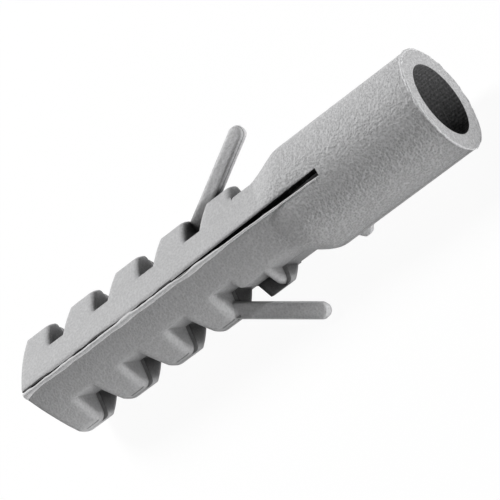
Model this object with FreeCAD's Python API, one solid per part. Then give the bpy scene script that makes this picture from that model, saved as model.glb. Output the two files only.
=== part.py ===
# One-piece nylon wall plug for a 10 mm hole: a round collar with the screw bore, and a body that is
# split lengthwise into two halves with blunt teeth, with a springy tongue on each side.
# It is drawn as it is moulded, along X with the mouth at the origin, the slit up and down (Z) and the
# teeth and tongues to the sides (Y). At the end it is rolled onto the tip of one tongue, as it lies.
import FreeCAD, Part
import math
import os

V = FreeCAD.Vector
CENTRE = V(0, 0, 0)
X_AXIS = V(1, 0, 0)

# whole plug
plug_length = 47.5

# collar, and the shoulder down to the neck
collar_radius = 5.2
collar_length = 15.0
shoulder_length = 4.2
shoulder_sections = 5
shoulder_sink = 0.04

# screw channel
bore_radius = 3.6
bore_length = 13.0
channel_taper_length = 13.0
channel_end_radius = 1.2

# body section, seen along the plug
slit_edge_reach = 5.2
crest_radius = 5.05
crest_half_width = 1.3
flank_radius = 12.0

# teeth, seen with the slit edge-on
tooth_pitch = 5.7
first_crest_start = 1.0
tooth_ramp_length = 0.9
tooth_wall_lean = 0.3
full_crest_length = 2.75
full_wall_round = 0.5
short_crest_length = 2.4
short_wall_round = 0.8
notch_depth = 2.4
neck_depth = 1.5
neck_round = 1.2
shortest_neck = 1.0
tip_flat_reach = 0.5
tip_bevel_reach = 3.0
tip_bevel_length = 0.6

# slit between the halves
slit_start = 11.2
slit_start_width = 0.72
slit_closing_length = 17.5
slit_width = 0.12
slit_shift = 0.12

# tongues: each leans out of the last tooth wall but one, and the two spread unequally
tongue_width = 1.6
tongue_thickness = 1.1
tongue_draft = 0.16
tongue_offset = 0.2
tongue_root_reach = 2.3
left_tongue_angle = 30.0
left_tongue_span = 8.25
left_tip_reach = 9.5
right_tongue_angle = 32.5
right_tongue_span = 6.85
right_tip_reach = 9.7

# relief that each tongue folds into, across one half of the last tooth
relief_end_margin = 0.35

# how far pieces run into each other before they are fused or cut
overlap = 0.4

# sizes that follow from the ones above
notch_floor = crest_radius - notch_depth
neck_floor = crest_radius - neck_depth
relief_depth = tongue_thickness / 2 - tongue_offset
neck_start = plug_length - collar_length - shoulder_length
row_length = neck_start - shortest_neck - first_crest_start - full_crest_length
last_tooth = int(row_length / tooth_pitch)
tooth_count = last_tooth + 1


def closed_face(edges):
    return Part.Face(Part.Wire(edges))


def polygon_face(points):
    return Part.Face(Part.makePolygon(points + points[:1]))


def arc(start, middle, end):
    return Part.Arc(start, middle, end).toShape()


def half_turn(shape):
    turned = shape.copy()
    turned.rotate(CENTRE, X_AXIS, 180)
    return turned


def flank_height(reach):
    """Height of the flank over the parting plane, at this distance to the side."""
    crest_side = math.sqrt(crest_radius ** 2 - crest_half_width ** 2)
    along = V(0, -crest_side, slit_edge_reach - crest_half_width)
    half = along.Length / 2
    inward = V(0, -along.z, along.y).normalize() * math.sqrt(flank_radius ** 2 - half ** 2)
    centre = V(0, crest_side / 2, (crest_half_width + slit_edge_reach) / 2) + inward
    return centre.z + math.sqrt(flank_radius ** 2 - (reach - centre.y) ** 2)


def body_section():
    """Rounded diamond: four flanks between the slit edges and the two rounded crests."""
    crest_side = math.sqrt(crest_radius ** 2 - crest_half_width ** 2)
    middle = flank_height(crest_side / 2)
    edges = []
    for side in (1, -1):
        crest_end = V(0, side * crest_side, side * crest_half_width)
        crest_back = V(0, side * crest_side, -side * crest_half_width)
        other_end = V(0, -side * crest_side, side * crest_half_width)
        slit_edge = V(0, 0, side * slit_edge_reach)
        edges.append(arc(crest_back, V(0, side * crest_radius, 0), crest_end))
        edges.append(arc(crest_end, V(0, side * crest_side / 2, side * middle), slit_edge))
        edges.append(arc(slit_edge, V(0, -side * crest_side / 2, side * middle), other_end))
    return closed_face(edges)


def tooth_row_points(crest_length):
    """One side's outline from the tip to the neck, as distances from the tip and from the axis."""
    points = [(0.0, tip_flat_reach), (tip_bevel_length, tip_bevel_reach)]
    for tooth in range(tooth_count):
        start = first_crest_start + tooth * tooth_pitch
        wall = start + crest_length
        floor = neck_floor if tooth == last_tooth else notch_floor
        lean = tooth_wall_lean * (crest_radius - floor) / (crest_radius - notch_floor)
        points += [(start, crest_radius), (wall, crest_radius), (wall + lean, floor)]
        if tooth < last_tooth:
            points.append((start + tooth_pitch - tooth_ramp_length, floor))
    points.append((neck_start + shoulder_length + overlap, neck_floor))
    return points


def toothed_body(crest_length):
    """The section run along the plug, less the notches, which go straight through from slit to slit."""
    row = tooth_row_points(crest_length)
    body = body_section().extrude(V(row[-1][0], 0, 0))
    body.translate(V(-plug_length, 0, 0))
    outline = [V(along - plug_length, out, 0) for along, out in row]
    outline += [V(along - plug_length, -out, 0) for along, out in reversed(row)]
    height = slit_edge_reach + overlap
    profile = polygon_face(outline).extrude(V(0, 0, 2 * height))
    profile.translate(V(0, 0, -height))
    return body.common(profile)


def soften_walls(body, crest_length, wall_round):
    """Rounds the edge between each tooth's mouth-side wall and its flanks and crest."""
    first_wall = first_crest_start + crest_length - plug_length
    walls = [first_wall + tooth * tooth_pitch for tooth in range(tooth_count)]
    wall_edges = []
    for edge in body.Edges:
        box = edge.BoundBox
        on_wall = any(wall - 1e-3 < box.XMin and box.XMax < wall + tooth_wall_lean + 1e-3 for wall in walls)
        at_floor = box.YLength < 1e-3
        if on_wall and not at_floor:
            wall_edges.append(edge)
    return body.makeFillet(wall_round, wall_edges)


def round_neck(body, start):
    """Rounds the neck between its flat sides and its flanks, from the last wall to the shoulder."""
    size = slit_edge_reach + overlap
    length = neck_start + shoulder_length / 2 - start
    neck = body_section().extrude(V(length, 0, 0))
    neck = neck.common(Part.makeBox(length, 2 * neck_floor, 2 * size, V(0, -neck_floor, -size)))
    corners = [edge for edge in neck.Edges if abs(edge.BoundBox.XLength - length) < 1e-3
               and abs(abs(edge.CenterOfMass.y) - neck_floor) < 1e-3]
    neck = neck.makeFillet(neck_round, corners)
    waste = Part.makeBox(length, 2 * size, 2 * size, V(0, -size, -size)).cut(neck)
    waste.translate(V(start - plug_length, 0, 0))
    return body.cut(waste)


def opposite_quarters(crest_length, wall_round, up):
    """Two quarters of the toothed body: the left one above or below the parting plane, and its twin."""
    body = soften_walls(toothed_body(crest_length), crest_length, wall_round)
    last_wall = first_crest_start + crest_length + last_tooth * tooth_pitch
    body = round_neck(body, last_wall + tooth_wall_lean)
    size = slit_edge_reach + overlap
    quarter = Part.makeBox(2 * plug_length, size, size, V(-plug_length, 0, 0 if up else -size))
    return body.common(quarter.fuse(half_turn(quarter)))


def toothed_quarters():
    """The teeth are a little longer in the two quarters that no tongue folds into."""
    full = opposite_quarters(full_crest_length, full_wall_round, True)
    short = opposite_quarters(short_crest_length, short_wall_round, False)
    return full.fuse(short)


def shoulder_ring(share, depth):
    """Section of the shoulder, this share of the way from the round collar to the neck's flanks."""
    corner = flank_height(neck_floor)
    corner_turn = math.atan2(corner, neck_floor)
    middle_turn = (corner_turn + math.pi / 2) / 2
    on_neck = [(0, V(0, neck_floor, 0)), (corner_turn, V(0, neck_floor, corner)),
               (middle_turn, V(0, neck_floor / 2, flank_height(neck_floor / 2))),
               (math.pi / 2, V(0, 0, slit_edge_reach))]
    quarter = []
    for turn, point in on_neck:
        on_collar = V(0, math.cos(turn), math.sin(turn)) * collar_radius
        quarter.append(on_collar * (1 - share) + point * (1 - shoulder_sink) * share)
    top_left = [V(0, -point.y, point.z) for point in reversed(quarter[1:3])]
    upper = quarter + top_left
    ring = upper + [point * -1 for point in upper]
    edges = []
    for number in range(1, len(ring), 2):
        start, between, end = ring[number - 2], ring[number - 1], ring[number]
        straight = (between - start).cross(end - between).Length < 1e-6
        edges.append(Part.LineSegment(start, end).toShape() if straight else arc(start, between, end))
    wire = Part.Wire(edges)
    wire.translate(V(-depth, 0, 0))
    return wire


def shoulder():
    """Smooth change from the collar's circle to the neck, sunk a little into its flanks at the end."""
    rings = []
    for section in range(shoulder_sections):
        along = section / (shoulder_sections - 1)
        share = along ** 2 * (3 - 2 * along)
        rings.append(shoulder_ring(share, collar_length + along * shoulder_length))
    return Part.makeLoft(rings, True)


def collar():
    return Part.makeCylinder(collar_radius, collar_length, V(-collar_length, 0, 0), X_AXIS)


def screw_channel():
    """Straight bore from the mouth, then a taper to the narrow channel that the screw spreads."""
    taper_end = bore_length + channel_taper_length
    outline = [(-overlap, 0), (-overlap, bore_radius), (bore_length, bore_radius),
               (taper_end, channel_end_radius), (plug_length + overlap, channel_end_radius),
               (plug_length + overlap, 0)]
    face = polygon_face([V(-along, radius, 0) for along, radius in outline])
    return face.revolve(CENTRE, X_AXIS, 360)


def slit():
    """Cut between the halves, widest in the collar, right through from top to bottom."""
    closed_at = slit_start + slit_closing_length
    wide = slit_start_width / 2
    narrow = slit_width / 2
    side = [V(-slit_start, wide, 0), V(-closed_at, narrow, 0), V(-plug_length - overlap, narrow, 0)]
    outline = side + [V(p.x, -p.y, 0) for p in reversed(side)]
    height = collar_radius + overlap
    cut = polygon_face(outline).extrude(V(0, 0, 2 * height))
    cut.translate(V(0, slit_shift, -height))
    return cut


def tongue(angle, span, tip_reach):
    """Springy tongue on the left, drafted both ways. Its root is inside the last tooth but one, and
    its round tip stands this span past that tooth's wall."""
    end_round = tongue_width / 2
    narrow = end_round - tongue_draft
    top = tongue_thickness / 2
    length = (tip_reach - end_round - tongue_root_reach) / math.sin(math.radians(angle))
    section = [V(-length, end_round, 0), V(-length, narrow, top), V(-length, -narrow, top),
               V(-length, -end_round, 0), V(-length, -narrow, -top), V(-length, narrow, -top)]
    bar = polygon_face(section).extrude(V(length, 0, 0))
    tip_outline = [V(0, 0, top), V(0, narrow, top), V(0, end_round, 0), V(0, narrow, -top), V(0, 0, -top)]
    tip = polygon_face(tip_outline).revolve(CENTRE, V(0, 0, 1), 360)
    bar = bar.fuse(tip)
    bar.rotate(CENTRE, V(0, 0, 1), angle)
    wall = first_crest_start + (last_tooth - 1) * tooth_pitch + full_crest_length
    bar.translate(V(wall + span - plug_length, tip_reach - end_round, -tongue_offset))
    return bar


def tongue_relief():
    """Room for the folded tongue: one half of the last tooth is cut back to the parting plane."""
    last_crest = first_crest_start + last_tooth * tooth_pitch
    start = last_crest - tooth_ramp_length
    end = last_crest + short_crest_length - relief_end_margin
    outward = crest_radius + overlap - neck_floor
    height = slit_edge_reach + relief_depth
    return Part.makeBox(end - start, outward, height,
                        V(start - plug_length, neck_floor, relief_depth - height))


def resting_roll():
    """Turn about the axis at which the collar and the right tongue's tip share the floor."""
    tip_reach = right_tip_reach - tongue_draft
    tip_from_axis = math.hypot(tip_reach, relief_depth)
    return math.degrees(math.asin(collar_radius / tip_from_axis) - math.atan2(relief_depth, tip_reach))


def wall_plug():
    body = toothed_quarters()
    relief = tongue_relief()
    body = body.cut([relief, half_turn(relief)])
    left = tongue(left_tongue_angle, left_tongue_span, left_tip_reach)
    right = half_turn(tongue(right_tongue_angle, right_tongue_span, right_tip_reach))
    plug = body.fuse([shoulder(), collar(), left, right])
    plug = plug.cut([screw_channel(), slit()]).removeSplitter()
    plug.rotate(CENTRE, X_AXIS, resting_roll())
    return plug


os.makedirs("parts", exist_ok=True)
plug = wall_plug()
solid = plug.Solids[0]
box = solid.BoundBox
print("teeth", tooth_count, "solids", len(plug.Solids), "valid", solid.isValid())
print("volume", round(solid.Volume, 1), "resting roll", round(resting_roll(), 3))
print("size", round(box.XLength, 2), round(box.YLength, 2), round(box.ZLength, 2))
solid.exportStep("parts/wall_plug.step")
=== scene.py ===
import math
import bmesh
import bpy
from mathutils import Matrix, Vector, noise


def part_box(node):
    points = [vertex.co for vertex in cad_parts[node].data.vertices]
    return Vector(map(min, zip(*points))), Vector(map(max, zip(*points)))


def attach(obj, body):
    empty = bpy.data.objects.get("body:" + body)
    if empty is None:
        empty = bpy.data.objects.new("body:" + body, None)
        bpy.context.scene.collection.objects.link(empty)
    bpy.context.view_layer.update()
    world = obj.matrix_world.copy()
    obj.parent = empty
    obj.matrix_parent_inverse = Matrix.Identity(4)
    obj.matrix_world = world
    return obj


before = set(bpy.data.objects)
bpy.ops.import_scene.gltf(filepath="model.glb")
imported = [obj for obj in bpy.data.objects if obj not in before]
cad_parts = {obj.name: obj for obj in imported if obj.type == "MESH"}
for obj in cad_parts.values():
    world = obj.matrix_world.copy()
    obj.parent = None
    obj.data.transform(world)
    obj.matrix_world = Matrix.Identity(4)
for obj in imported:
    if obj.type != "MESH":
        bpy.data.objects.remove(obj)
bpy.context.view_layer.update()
mm = 0.001

# how the plug is moulded and how it lies: the slit and the teeth are turned about the long axis
plug = {
    "node": "wall_plug",
    "restRoll": 30.904,             # degrees from the moulding position to the resting one
    "length": 47.5,                 # millimetres from here on
    "slitStart": 11.2,              # from the mouth
    "slitCloses": 28.7,
    "slitWidths": (0.72, 0.12),     # at its start and where it has closed
    "slitShift": 0.12,              # from the plug's middle, away from the floor
    "teethFrom": 20.0,
    "collarRadius": 5.2,
    "boreRadius": 3.6,
    "boreLength": 13.0,
    "channelTaper": 13.0,           # where the bore narrows to the channel
    "channelRadius": 1.2,
}
roll = math.radians(plug["restRoll"])
alongAxis = Vector((1, 0, 0))                                   # out of the mouth
slitSide = Vector((0, -math.sin(roll), math.cos(roll)))         # towards the slit that shows
toothSide = Vector((0, -math.cos(roll), -math.sin(roll)))       # towards the tongue on the floor


# camera at the photograph's angle, a long lens from about 30 cm
camera = {
    "mouthPixel": (441.1, 99.06),   # where the middle of the mouth lands in a 500 x 500 picture
    "distance": 300 * mm,
    "focalPixels": 3500.0,
    "pictureSide": 500,
    "sensor": 36.0,                 # millimetres
    "clip": (0.01, 20.0),           # metres
    "axisToView": 64.7,             # degrees between the plug's axis and the line to the camera
    "axisRise": 36.87,              # slope of the axis in the picture
    "slitTurn": 14.72,              # how far the slit is turned from facing the camera
}


def addCamera():
    view = math.radians(camera["axisToView"])
    rise = math.radians(camera["axisRise"])
    turn = math.radians(camera["slitTurn"])
    # the plug's three directions as the camera sees them: right, up, backwards
    axisSeen = Vector((math.sin(view) * math.cos(rise), math.sin(view) * math.sin(rise),
                       math.cos(view)))
    acrossSeen = Vector((math.sin(rise), -math.cos(rise), 0))
    facingSeen = acrossSeen.cross(axisSeen)
    if facingSeen.z < 0:
        facingSeen = -facingSeen
    slitSeen = facingSeen * math.cos(turn) - acrossSeen * math.sin(turn)
    toothSeen = facingSeen * math.sin(turn) + acrossSeen * math.cos(turn)
    plugAxes = Matrix((alongAxis, slitSide, toothSide)).transposed()
    seenAxes = Matrix((axisSeen, slitSeen, toothSeen)).transposed()
    toCamera = seenAxes @ plugAxes.inverted()
    half = camera["pictureSide"] / 2
    scale = camera["distance"] / camera["focalPixels"]
    mouthSeen = Vector(((camera["mouthPixel"][0] - half) * scale,
                        (half - camera["mouthPixel"][1]) * scale,
                        -camera["distance"]))
    fromCamera = toCamera.transposed()
    data = bpy.data.cameras.new("camera")
    data.sensor_width = camera["sensor"]
    data.lens = camera["sensor"] * camera["focalPixels"] / camera["pictureSide"]
    data.clip_start, data.clip_end = camera["clip"]
    obj = bpy.data.objects.new("camera", data)
    bpy.context.collection.objects.link(obj)
    obj.matrix_world = Matrix.Translation(-(fromCamera @ mouthSeen)) @ fromCamera.to_4x4()
    bpy.context.scene.camera = obj
    bpy.context.view_layer.update()
    print("camera at", [round(v, 4) for v in obj.location])
    return fromCamera


# soft studio light: a big one at the upper left, one in front of the mouth, two weak ones
studio = {
    "aim": (-24 * mm, 0, 0),            # about the middle of the plug
    # name, degrees about the plug from the camera's side (minus is upper left),
    # degrees towards the mouth, watts, size and distance in metres
    "lights": (
        ("key", -83, -33, 9.7, 0.36, 0.90),
        ("front", -12, 0, 0.55, 0.36, 0.90),
        ("mouth", 30, 82, 4.6, 0.20, 0.90),
        ("low", 40, 45, 1.9, 0.20, 0.90),
    ),
    "roomColour": (1, 1, 1, 1),
    "roomLight": 0.0,                   # from all round
    "roomSeen": 1.0,                    # plain white where the camera looks past the floor
    "floorColour": (0.86, 0.86, 0.86, 1),
    "floorSide": 6.0,
    "floorGlow": 0.20,                  # light from under the paper, as on a light table
    "floorWhite": 0.93,                 # plain white in what the camera sees of the floor
}


def addAreaLight(name, direction, distance, size, power):
    data = bpy.data.lights.new(name, "AREA")
    data.shape = "DISK"
    data.size = size
    data.energy = power
    obj = bpy.data.objects.new(name, data)
    bpy.context.collection.objects.link(obj)
    aim = Vector(studio["aim"])
    place = aim + direction.normalized() * distance
    facing = (place - aim).to_track_quat("Z", "Y")
    obj.matrix_world = Matrix.Translation(place) @ facing.to_matrix().to_4x4()


def addLights(fromCamera):
    rise = math.radians(camera["axisRise"])
    upLeft = fromCamera @ Vector((-math.sin(rise), math.cos(rise), 0))
    facing = alongAxis.cross(upLeft)
    for name, turned, leaned, power, size, distance in studio["lights"]:
        turned, leaned = math.radians(turned), math.radians(leaned)
        direction = alongAxis * math.sin(leaned) - upLeft * math.sin(turned) * math.cos(leaned)
        direction += facing * math.cos(turned) * math.cos(leaned)
        print(name, "light from", [round(v, 2) for v in direction])
        addAreaLight(name, direction, distance, size, power)


def addRoom():
    world = bpy.data.worlds.new("room")
    bpy.context.scene.world = world
    world.use_nodes = True
    nodes = world.node_tree.nodes
    links = world.node_tree.links
    background = nodes["Background"]
    background.inputs["Color"].default_value = studio["roomColour"]
    path = nodes.new("ShaderNodeLightPath")
    strength = nodes.new("ShaderNodeMix")
    strength.data_type = "FLOAT"
    strength.inputs[2].default_value = studio["roomLight"]
    strength.inputs[3].default_value = studio["roomSeen"]
    links.new(path.outputs["Is Camera Ray"], strength.inputs[0])
    links.new(strength.outputs[0], background.inputs["Strength"])
    bpy.context.scene.view_settings.view_transform = "Standard"


# pale paper under the lowest point of the plug
def addFloor():
    mesh = bpy.data.meshes.new("floor")
    bm = bmesh.new()
    bmesh.ops.create_grid(bm, x_segments=1, y_segments=1, size=studio["floorSide"] / 2)
    bmesh.ops.translate(bm, verts=bm.verts, vec=(0, 0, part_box(plug["node"])[0][2]))
    bm.to_mesh(mesh)
    bm.free()
    floor = bpy.data.objects.new("floor", mesh)
    bpy.context.collection.objects.link(floor)
    material = bpy.data.materials.new("floorPaper")
    material.use_nodes = True
    nodes = material.node_tree.nodes
    links = material.node_tree.links
    nodes.clear()
    output = nodes.new("ShaderNodeOutputMaterial")
    paper = nodes.new("ShaderNodeBsdfDiffuse")
    paper.inputs["Color"].default_value = studio["floorColour"]
    glow = nodes.new("ShaderNodeEmission")
    glow.inputs["Strength"].default_value = studio["floorGlow"]
    lit = nodes.new("ShaderNodeAddShader")
    white = nodes.new("ShaderNodeEmission")
    path = nodes.new("ShaderNodeLightPath")
    share = nodes.new("ShaderNodeMath")
    share.operation = "MULTIPLY"
    share.inputs[1].default_value = studio["floorWhite"]
    both = nodes.new("ShaderNodeMixShader")
    links.new(path.outputs["Is Camera Ray"], share.inputs[0])
    links.new(share.outputs[0], both.inputs[0])
    links.new(paper.outputs[0], lit.inputs[0])
    links.new(glow.outputs[0], lit.inputs[1])
    links.new(lit.outputs[0], both.inputs[1])
    links.new(white.outputs[0], both.inputs[2])
    links.new(both.outputs[0], output.inputs["Surface"])
    mesh.materials.append(material)


# helpers for the materials: each adds one node or a short row of them and returns the result
def mathNode(tree, operation, first, second=None):
    node = tree.nodes.new("ShaderNodeMath")
    node.operation = operation
    for number, source in enumerate((first, second)):
        if isinstance(source, (int, float)):
            node.inputs[number].default_value = source
        elif source is not None:
            tree.links.new(source, node.inputs[number])
    return node.outputs[0]


def productNode(tree, *factors):
    product = factors[0]
    for factor in factors[1:]:
        product = mathNode(tree, "MULTIPLY", product, factor)
    return product


def rangeNode(tree, value, start, end, low, high, smooth=True):
    node = tree.nodes.new("ShaderNodeMapRange")
    node.interpolation_type = "SMOOTHSTEP" if smooth else "LINEAR"
    tree.links.new(value, node.inputs["Value"])
    node.inputs["From Min"].default_value = start
    node.inputs["From Max"].default_value = end
    node.inputs["To Min"].default_value = low
    node.inputs["To Max"].default_value = high
    return node.outputs["Result"]


def noiseNode(tree, place, scale, detail):
    node = tree.nodes.new("ShaderNodeTexNoise")
    node.inputs["Scale"].default_value = scale
    node.inputs["Detail"].default_value = detail
    tree.links.new(place, node.inputs["Vector"])
    return node


# where a point of the surface lies on the plug, measured in the plug's own directions
def plugPlace(tree):
    point = tree.nodes.new("ShaderNodeTexCoord").outputs["Object"]
    here = {"point": point}
    for name, direction in (("fromMouth", alongAxis), ("toSlit", slitSide), ("toTooth", toothSide)):
        dot = tree.nodes.new("ShaderNodeVectorMath")
        dot.operation = "DOT_PRODUCT"
        dot.inputs[1].default_value = direction
        tree.links.new(point, dot.inputs[0])
        here[name] = dot.outputs["Value"]
    here["slitReach"] = mathNode(tree, "ABSOLUTE", here["toSlit"])
    here["toothReach"] = mathNode(tree, "ABSOLUTE", here["toTooth"])
    # the long teeth are in the two quarters where both directions have the same sign
    here["longTeeth"] = mathNode(tree, "GREATER_THAN",
                                 productNode(tree, here["toTooth"], here["toSlit"]), 0.0)
    radius = mathNode(tree, "SQRT", mathNode(tree, "ADD",
                                             productNode(tree, here["toSlit"], here["toSlit"]),
                                             productNode(tree, here["toTooth"], here["toTooth"])))
    wall = rangeNode(tree, here["fromMouth"],
                     -(plug["boreLength"] + plug["channelTaper"]) * mm, -plug["boreLength"] * mm,
                     plug["channelRadius"] * mm, plug["boreRadius"] * mm, smooth=False)
    here["offWall"] = mathNode(tree, "SUBTRACT", radius, wall)
    return here


# painted shade in the insides: the bore, the channel and the slit, with dark nicks painted along
# the slit's edge
insidePaintedShade = {
    "share": 0.16,                  # how much of the colour is left there
    "lowerShare": 0.05,             # and how much of that on the bore's lower side, where the painted shade is darkest
    "lowerFrom": 0.7,               # which is reached at this share of the bore's radius
    "boreEdge": (-0.02, 0.03),      # millimetres past the bore's wall, from all dark to none
    "slitEdge": 0.01,               # millimetres past the slit's wall
    "slitTop": (4.9, 5.1),          # the shade ends just under the slit's edges, from the axis
    "nickFrom": 4.8,                # nicks reach down to here, from the axis
    "nickLength": 4.0,
    "nickWidth": 0.17,
    "nickNoise": (0.42, 0.62),      # no nick below the first value, the full width above the second
}


def insidePaintedShadeNodes(tree, here):
    share = insidePaintedShade["share"]
    # painted shade: the bore's colour is darkened, most on its lower side
    boreLeft = rangeNode(tree, here["toTooth"], -plug["boreRadius"] * mm,
                         plug["boreRadius"] * mm * insidePaintedShade["lowerFrom"],
                         share, share * insidePaintedShade["lowerShare"])
    boreShade = productNode(tree, here["inBore"], mathNode(tree, "SUBTRACT", 1.0, boreLeft))
    # the slit narrows from its start to where it closes
    halfWidth = rangeNode(tree, here["fromMouth"],
                          -plug["slitCloses"] * mm, -plug["slitStart"] * mm,
                          plug["slitWidths"][1] * mm / 2, plug["slitWidths"][0] * mm / 2,
                          smooth=False)
    fromMiddle = mathNode(tree, "ADD", here["toTooth"], plug["slitShift"] * mm)
    offSlit = mathNode(tree, "SUBTRACT", mathNode(tree, "ABSOLUTE", fromMiddle), halfWidth)
    # painted shade on the slit's walls
    inSlit = mathNode(tree, "LESS_THAN", offSlit, insidePaintedShade["slitEdge"] * mm)
    underEdge = rangeNode(tree, here["slitReach"], insidePaintedShade["slitTop"][0] * mm,
                          insidePaintedShade["slitTop"][1] * mm, 1, 0)
    pastStart = mathNode(tree, "LESS_THAN", here["fromMouth"], -plug["slitStart"] * mm)
    inSlit = productNode(tree, inSlit, underEdge, pastStart)
    # painted shade in nicks, only where the slit is closed
    alongOnly = tree.nodes.new("ShaderNodeCombineXYZ")
    tree.links.new(here["fromMouth"], alongOnly.inputs[0])
    nick = noiseNode(tree, alongOnly.outputs[0], 1 / (insidePaintedShade["nickLength"] * mm), 2)
    nickWidth = rangeNode(tree, nick.outputs["Fac"], insidePaintedShade["nickNoise"][0],
                          insidePaintedShade["nickNoise"][1], 0, insidePaintedShade["nickWidth"] * mm)
    nicked = mathNode(tree, "LESS_THAN", offSlit, nickWidth)
    nearEdge = mathNode(tree, "GREATER_THAN", here["slitReach"], insidePaintedShade["nickFrom"] * mm)
    closed = mathNode(tree, "LESS_THAN", here["fromMouth"], -plug["slitCloses"] * mm)
    nicked = productNode(tree, nicked, nearEdge, closed)
    slitShade = productNode(tree, mathNode(tree, "MAXIMUM", inSlit, nicked), 1 - share)
    return mathNode(tree, "MAXIMUM", boreShade, slitShade)


# painted shade along the lines where the mould's parts met, for the shade in their small step: all
# round the middle, and short ones on the long teeth
seamPaintedShade = {
    "width": 0.08,                  # millimetres
    "core": 0.4,                    # share of the width that is fully dark
    "share": 0.45,                  # how much of the colour is left on a line
    "offWall": (0.03, 0.06),        # no line on the bore's wall
    "offMouth": (-0.3, -0.1),       # and none on the rim
    "crestAway": 0.74,              # the short lines lie this far from the middle
    "crestAt": (1.5, 3.7),          # from the tip to the start and the end of the first one
    "crestHeight": 5.05,            # of the teeth, from the axis
    "crestBand": (0.10, 0.14),      # how far from that height a line still shows
    "toothPitch": 5.7,
}


def seamPaintedShadeLines(tree, here):
    width = seamPaintedShade["width"] * mm
    onSeam = rangeNode(tree, here["slitReach"], width * seamPaintedShade["core"], width, 1, 0)
    outside = rangeNode(tree, here["offWall"], seamPaintedShade["offWall"][0] * mm,
                        seamPaintedShade["offWall"][1] * mm, 0, 1)
    behindMouth = rangeNode(tree, here["fromMouth"], seamPaintedShade["offMouth"][0] * mm,
                            seamPaintedShade["offMouth"][1] * mm, 1, 0)
    onSeam = productNode(tree, onSeam, outside, behindMouth)
    # the short lines repeat with the teeth
    fromTip = mathNode(tree, "ADD", here["fromMouth"], plug["length"] * mm)
    inPitch = mathNode(tree, "MODULO", fromTip, seamPaintedShade["toothPitch"] * mm)
    started = mathNode(tree, "GREATER_THAN", inPitch, seamPaintedShade["crestAt"][0] * mm)
    ended = mathNode(tree, "LESS_THAN", inPitch, seamPaintedShade["crestAt"][1] * mm)
    fromLine = mathNode(tree, "SUBTRACT", here["slitReach"], seamPaintedShade["crestAway"] * mm)
    onLine = rangeNode(tree, mathNode(tree, "ABSOLUTE", fromLine), width, width * 2, 1, 0)
    fromCrest = mathNode(tree, "SUBTRACT", here["toothReach"], seamPaintedShade["crestHeight"] * mm)
    onCrest = rangeNode(tree, mathNode(tree, "ABSOLUTE", fromCrest), seamPaintedShade["crestBand"][0] * mm,
                        seamPaintedShade["crestBand"][1] * mm, 1, 0)
    onTeeth = mathNode(tree, "LESS_THAN", here["fromMouth"], -plug["teethFrom"] * mm)
    onCrest = productNode(tree, onLine, onCrest, onTeeth, started, ended, here["longTeeth"])
    return productNode(tree, mathNode(tree, "MAXIMUM", onSeam, onCrest), 1 - seamPaintedShade["share"])


# painted shade between the teeth, darker where more of the plug stands round a point
hollowPaintedShade = {
    "reach": 2.8,                   # millimetres
    "samples": 12,
    "notchOpen": (0.25, 0.90),      # openness at full shade and at none, between the long teeth
    "notchShare": 0.62,             # how much of the colour is left at full shade
    "scoopOpen": (0.45, 1.0),       # the scoops between the short teeth are deeper and darker
    "scoopShare": 0.12,
}


def hollowPaintedShadeLeft(tree, here):
    around = tree.nodes.new("ShaderNodeAmbientOcclusion")
    around.only_local = True
    around.samples = hollowPaintedShade["samples"]
    around.inputs["Distance"].default_value = hollowPaintedShade["reach"] * mm
    # painted shade: the colour is darkened in the notches, and more in the scoops
    notchLeft = rangeNode(tree, around.outputs["AO"], hollowPaintedShade["notchOpen"][0],
                          hollowPaintedShade["notchOpen"][1], hollowPaintedShade["notchShare"], 1)
    scoopLeft = rangeNode(tree, around.outputs["AO"], hollowPaintedShade["scoopOpen"][0],
                          hollowPaintedShade["scoopOpen"][1], hollowPaintedShade["scoopShare"], 1)
    either = tree.nodes.new("ShaderNodeMix")
    either.data_type = "FLOAT"
    tree.links.new(here["longTeeth"], either.inputs[0])
    tree.links.new(scoopLeft, either.inputs[2])
    tree.links.new(notchLeft, either.inputs[3])
    return mathNode(tree, "MAXIMUM", either.outputs[0], here["onTongue"])


# spark-eroded grain: rounded swellings with narrow dips, coarser on the collar; painted shade
# darkens the dips and painted light lightens the swellings
grain = {
    "size": 0.205,                  # millimetres from one grain to the next
    "bodyDepth": 0.022,             # millimetres
    "collarDepth": 0.062,
    "boreShare": 0.4,               # of that depth in the bore
    "coarseFrom": -21.0,            # where the body's grain passes into the collar's
    "coarseTo": -13.0,
    "bodyPitPaintedShade": 0.34,               # how strong the painted shade and light of the grain are
    "collarPitPaintedShade": 0.66,
    "pitMiddle": 0.33,              # the height where the colour stays as it is
    "warpRate": 1.6,                # how closely and how far the grains are pushed about
    "warpShare": 0.7,
    "softness": 0.6,
    "patchRate": 0.45,              # how closely the wider swellings stand, in grains
    "fineSize": 0.11,               # a fine roughness over all of it
    "fineDepth": 0.004,
}


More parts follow.
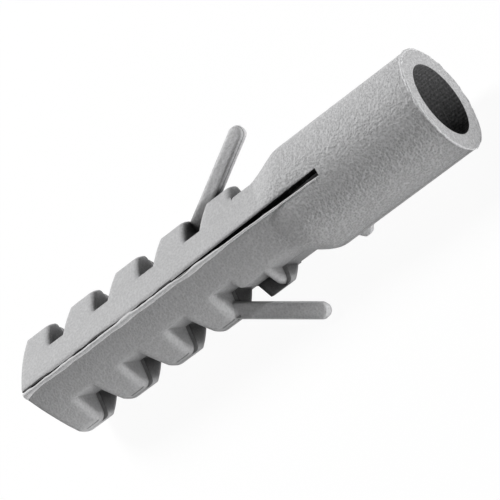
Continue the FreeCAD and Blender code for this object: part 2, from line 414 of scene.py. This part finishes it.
def addGrain(tree, here):
    size = grain["size"] * mm
    warp = noiseNode(tree, here["point"], grain["warpRate"] / size, 1)
    push = tree.nodes.new("ShaderNodeVectorMath")
    push.operation = "MULTIPLY_ADD"
    tree.links.new(warp.outputs["Color"], push.inputs[0])
    push.inputs[1].default_value = (size * grain["warpShare"],) * 3
    tree.links.new(here["point"], push.inputs[2])
    cells = tree.nodes.new("ShaderNodeTexVoronoi")
    cells.feature = "SMOOTH_F1"
    cells.inputs["Scale"].default_value = 1 / size
    cells.inputs["Smoothness"].default_value = grain["softness"]
    tree.links.new(push.outputs[0], cells.inputs["Vector"])
    patch = noiseNode(tree, here["point"], grain["patchRate"] / size, 1)
    coarse = (grain["coarseFrom"] * mm, grain["coarseTo"] * mm)
    depth = rangeNode(tree, here["fromMouth"], *coarse, grain["bodyDepth"], grain["collarDepth"])
    depth = productNode(tree, depth, rangeNode(tree, here["inBore"], 0, 1, 1, grain["boreShare"]))
    swelling = mathNode(tree, "ADD", cells.outputs["Distance"], patch.outputs["Fac"])
    contrast = rangeNode(tree, here["fromMouth"], *coarse, grain["bodyPitPaintedShade"], grain["collarPitPaintedShade"])
    overPit = mathNode(tree, "SUBTRACT", cells.outputs["Distance"], grain["pitMiddle"])
    return productNode(tree, swelling, depth), productNode(tree, overPit, contrast)


# grey nylon as moulded, a little cloudy, for the plug's body and for its thin raised edges
nylon = {
    "colour": (0.44, 0.44, 0.445),
    "cloudColour": (0.48, 0.48, 0.485),
    "cloudScale": 300,              # clouds to the metre
    "roughness": 0.55,
    "boreRoughness": 1.0,           # so that no gleam shows in the dark
    "specular": 0.22,
    "edgePaintedLight": 1.40,              # painted light: thin raised edges are coloured paler, for the light that passes through them
    "tonguePaintedLight": 1.38,            # painted light on the tongues, coloured paler against the plug's shadow on them
    "tongueFrom": (5.25, 5.8),      # which stand out past the teeth here, from the axis
    "rimRound": 0.12,               # millimetres that the collar's edges are worn round
    "bodyRound": 0.60,              # and the teeth, which are worn more
    "roundFrom": -16.0,             # where the one passes into the other, from the mouth
    "roundTo": -12.0,
    "roundSamples": 8,
}


def nylonMaterial(name, body):
    material = bpy.data.materials.new(name)
    material.use_nodes = True
    tree = material.node_tree
    shader = tree.nodes["Principled BSDF"]
    shader.inputs["Roughness"].default_value = nylon["roughness"]
    shader.inputs["Specular IOR Level"].default_value = nylon["specular"]
    here = plugPlace(tree)
    here["inBore"] = rangeNode(tree, here["offWall"], insidePaintedShade["boreEdge"][0] * mm,
                               insidePaintedShade["boreEdge"][1] * mm, 1, 0)
    height, grainPaintedShade = addGrain(tree, here)
    coarseBump = tree.nodes.new("ShaderNodeBump")
    coarseBump.inputs["Distance"].default_value = mm
    tree.links.new(height, coarseBump.inputs["Height"])
    if body:
        dull = rangeNode(tree, here["inBore"], 0, 1, nylon["roughness"], nylon["boreRoughness"])
        tree.links.new(dull, shader.inputs["Roughness"])
        worn = tree.nodes.new("ShaderNodeBevel")
        worn.samples = nylon["roundSamples"]
        wornRadius = rangeNode(tree, here["fromMouth"],
                               nylon["roundFrom"] * mm, nylon["roundTo"] * mm,
                               nylon["bodyRound"] * mm, nylon["rimRound"] * mm)
        tree.links.new(wornRadius, worn.inputs["Radius"])
        tree.links.new(worn.outputs[0], coarseBump.inputs["Normal"])
        here["onTongue"] = rangeNode(tree, here["toothReach"], nylon["tongueFrom"][0] * mm,
                                     nylon["tongueFrom"][1] * mm, 0, 1)
        # painted light on the tongues
        shade = rangeNode(tree, here["onTongue"], 0, 1, 1, nylon["tonguePaintedLight"], smooth=False)
        # painted shade in the insides, on the seams and between the teeth, and the grain's painted
        # shade and light
        for darker in (insidePaintedShadeNodes(tree, here), seamPaintedShadeLines(tree, here)):
            shade = productNode(tree, shade, mathNode(tree, "SUBTRACT", 1.0, darker))
        shade = productNode(tree, shade, hollowPaintedShadeLeft(tree, here), mathNode(tree, "ADD", grainPaintedShade, 1.0))
    else:
        # painted light: the edges' colour is raised, with the grain's painted shade and light
        shade = mathNode(tree, "ADD", grainPaintedShade, nylon["edgePaintedLight"])
    # colour
    cloud = noiseNode(tree, here["point"], nylon["cloudScale"], 3)
    tint = tree.nodes.new("ShaderNodeMix")
    tint.data_type = "RGBA"
    tint.inputs[6].default_value = nylon["colour"] + (1,)
    tint.inputs[7].default_value = nylon["cloudColour"] + (1,)
    tree.links.new(cloud.outputs["Fac"], tint.inputs[0])
    shaded = tree.nodes.new("ShaderNodeVectorMath")
    shaded.operation = "SCALE"
    tree.links.new(tint.outputs[2], shaded.inputs[0])
    tree.links.new(shade, shaded.inputs["Scale"])
    tree.links.new(shaded.outputs[0], shader.inputs["Base Color"])
    # fine roughness over the grain
    fine = noiseNode(tree, here["point"], 1 / (grain["fineSize"] * mm), 1)
    fineBump = tree.nodes.new("ShaderNodeBump")
    fineBump.inputs["Distance"].default_value = grain["fineDepth"] * mm
    tree.links.new(fine.outputs["Fac"], fineBump.inputs["Height"])
    tree.links.new(coarseBump.outputs[0], fineBump.inputs["Normal"])
    tree.links.new(fineBump.outputs[0], shader.inputs["Normal"])
    return material


# thin raised edges that the mould left: pieces are shaped in millimetres,
# as (along, towards the tooth, towards the slit)
plugToWorld = Matrix((alongAxis, toothSide, slitSide)).transposed()


# unevenness along the plug, from a row of the noise for each use
def wobble(along, rate, size, row):
    return size * noise.noise(Vector((along * rate, row, 0.37 * row)))


def finishPiece(name, bm, material, twin):
    if twin:
        both = bmesh.ops.duplicate(bm, geom=bm.verts[:] + bm.edges[:] + bm.faces[:])
        turned = [item for item in both["geom"] if isinstance(item, bmesh.types.BMVert)]
        bmesh.ops.rotate(bm, verts=turned, cent=(0, 0, 0),
                         matrix=Matrix.Rotation(math.pi, 3, "X"))
    bmesh.ops.scale(bm, verts=bm.verts, vec=(mm, mm, mm))
    bmesh.ops.transform(bm, verts=bm.verts, matrix=plugToWorld.to_4x4())
    bmesh.ops.recalc_face_normals(bm, faces=bm.faces)
    for face in bm.faces:
        face.smooth = True
    print(name, len(bm.faces), "faces, closed:", all(edge.is_manifold for edge in bm.edges))
    mesh = bpy.data.meshes.new(name)
    bm.to_mesh(mesh)
    bm.free()
    obj = bpy.data.objects.new(name, mesh)
    bpy.context.collection.objects.link(obj)
    mesh.materials.append(material)
    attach(obj, "root")


# the uneven bead along one edge of the slit, and its twin on the far side
lip = {
    "start": -11.6,                 # from the mouth
    "end": -47.46,
    "step": 0.16,
    # outline: across from the slit's wall, above the body's ridge
    "outline": ((0.04, -0.36), (0.00, -0.10), (0.05, 0.03), (0.13, 0.11), (0.23, 0.13),
                (0.32, 0.06), (0.40, -0.06), (0.46, -0.22), (0.36, -0.40)),
    "ridge": 5.2,                   # from the axis
    # how its thickness varies, and how unevenly it closes over the slit:
    # turns to the millimetre, size, row
    "swell": (0.5, 0.25, 3),
    "wave": (0.45, 0.18, 5),
    "kink": (1.1, 0.09, 7),
    "waveWidth": 0.3,               # only this side of it is uneven, from the slit's wall
    "thinFrom": -26.0,              # towards the mouth it is thinner and calmer
    "thinTo": -21.0,
    "thinShare": 0.45,
    "calmer": 0.5,
    "tipShare": 1.35,               # and it is swollen where it ends at the tip
    "tipLength": 0.7,
}


def slitWall(along):
    wide, narrow = plug["slitWidths"]
    closing = (-along - plug["slitStart"]) / (plug["slitCloses"] - plug["slitStart"])
    width = wide + (narrow - wide) * min(1, max(0, closing))
    return width / 2 - plug["slitShift"]


def addLip(material):
    bm = bmesh.new()
    outline = lip["outline"]
    ring = bmesh.ops.create_circle(bm, cap_ends=True, segments=len(outline), radius=1)["verts"]
    for vert, (across, above) in zip(ring, outline):
        vert.co = (lip["start"], across, above)
    longer = bmesh.ops.extrude_face_region(bm, geom=bm.faces[:])["geom"]
    ends = [item for item in longer if isinstance(item, bmesh.types.BMVert)]
    bmesh.ops.translate(bm, verts=ends, vec=(lip["end"] - lip["start"], 0, 0))
    lengthwise = [edge for edge in bm.edges if edge.calc_length() > 1]
    cuts = int((lip["start"] - lip["end"]) / lip["step"])
    bmesh.ops.subdivide_edges(bm, edges=lengthwise, cuts=cuts, use_grid_fill=True)
    for vert in bm.verts:
        along, across, above = vert.co
        thin = min(1, max(0, (along - lip["thinFrom"]) / (lip["thinTo"] - lip["thinFrom"])))
        size = 1 + (lip["thinShare"] - 1) * thin
        size *= 1 + wobble(along, *lip["swell"])
        tip = max(0, 1 - (along - lip["end"]) / lip["tipLength"])
        size *= 1 + (lip["tipShare"] - 1) * tip
        wave = wobble(along, *lip["wave"]) + abs(wobble(along, *lip["kink"]))
        overSlit = max(0, 1 - across / lip["waveWidth"])
        across = across * size - wave * overSlit * (1 - lip["calmer"] * thin)
        vert.co = (along, slitWall(along) + across, lip["ridge"] + above * size)
    finishPiece("slit_lips", bm, material, True)


# the bead round the mouth's rim
rim = {
    "radius": 5.17,
    "place": -0.01,                 # from the mouth
    "thickness": 0.13,              # its radius, on the side of the slit that shows
    "farShare": 0.30,               # and of that on the far side
    "sides": 8,
    "steps": 180,
    "roughRate": 6.0,               # how its thickness varies round the rim
    "roughShare": 0.8,
    "waveRate": 1.7,                # it wanders this much faster than that, in millimetres
    "wave": 0.05,
    "waveRow": 5,
    "waveOut": 0.5,                 # of that outwards
}


def addRim(material):
    bm = bmesh.new()
    ring = bmesh.ops.create_circle(bm, cap_ends=False, segments=rim["sides"],
                                   radius=rim["thickness"])["verts"]
    bmesh.ops.translate(bm, verts=ring, vec=(rim["place"], rim["radius"], 0))
    bmesh.ops.spin(bm, geom=bm.verts[:] + bm.edges[:], cent=(0, 0, 0), axis=(1, 0, 0),
                   dvec=(0, 0, 0), angle=math.tau, steps=rim["steps"], use_merge=True,
                   use_duplicate=False)
    for vert in bm.verts:
        angle = math.atan2(vert.co.y, vert.co.z)
        radius = math.hypot(vert.co.y, vert.co.z)
        near = 0.5 + 0.5 * math.cos(angle)              # 1 at the slit that shows, 0 opposite
        turn = Vector((math.cos(angle), math.sin(angle), 0)) * rim["roughRate"]
        size = rim["farShare"] + (1 - rim["farShare"]) * near
        size *= 1 + rim["roughShare"] * noise.noise(turn)
        row = Vector((0, 0, rim["waveRow"]))
        shift = rim["wave"] * noise.noise(turn * rim["waveRate"] + row)
        along = rim["place"] + (vert.co.x - rim["place"]) * size + shift
        radius = rim["radius"] + (radius - rim["radius"]) * size + shift * rim["waveOut"]
        vert.co = (along, radius * math.sin(angle), radius * math.cos(angle))
    finishPiece("rim_bead", bm, material, False)


# the small nub on the collar
nub = {
    "centre": -13.05,               # from the mouth
    "base": (2.2, 1.4),             # along and around the collar
    "top": (0.6, 1.0),
    "height": 0.5,
    "sunk": 0.5,                    # how deep its base lies in the collar
    "fromTooth": -20.0,             # degrees past the seam, away from the slit that shows
    "round": 0.12,
    "roundSteps": 3,
}


def addNub(material):
    bm = bmesh.new()
    bmesh.ops.create_cube(bm, size=1)
    for vert in bm.verts:
        high = vert.co.y > 0
        length, width = nub["top"] if high else nub["base"]
        vert.co = (vert.co.x * length + nub["centre"],
                   plug["collarRadius"] + (nub["height"] if high else -nub["sunk"]),
                   vert.co.z * width)
    bmesh.ops.bevel(bm, geom=bm.edges[:], offset=nub["round"], offset_type="OFFSET",
                    segments=nub["roundSteps"], profile=0.5, affect="EDGES", material=-1,
                    clamp_overlap=True)
    bmesh.ops.rotate(bm, verts=bm.verts, cent=(0, 0, 0),
                     matrix=Matrix.Rotation(math.radians(nub["fromTooth"]), 3, "X"))
    finishPiece("collar_nub", bm, material, False)


addLights(addCamera())
addRoom()
addFloor()
print("studio ready")
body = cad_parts[plug["node"]]
body.data.materials.clear()
body.data.materials.append(nylonMaterial("greyNylon", True))
print("plug finished in grey nylon")
edgeNylonPaintedLight = nylonMaterial("edgeNylonPaintedLight", False)
addLip(edgeNylonPaintedLight)
addRim(edgeNylonPaintedLight)
addNub(edgeNylonPaintedLight)
print("moulded edges and nub added")
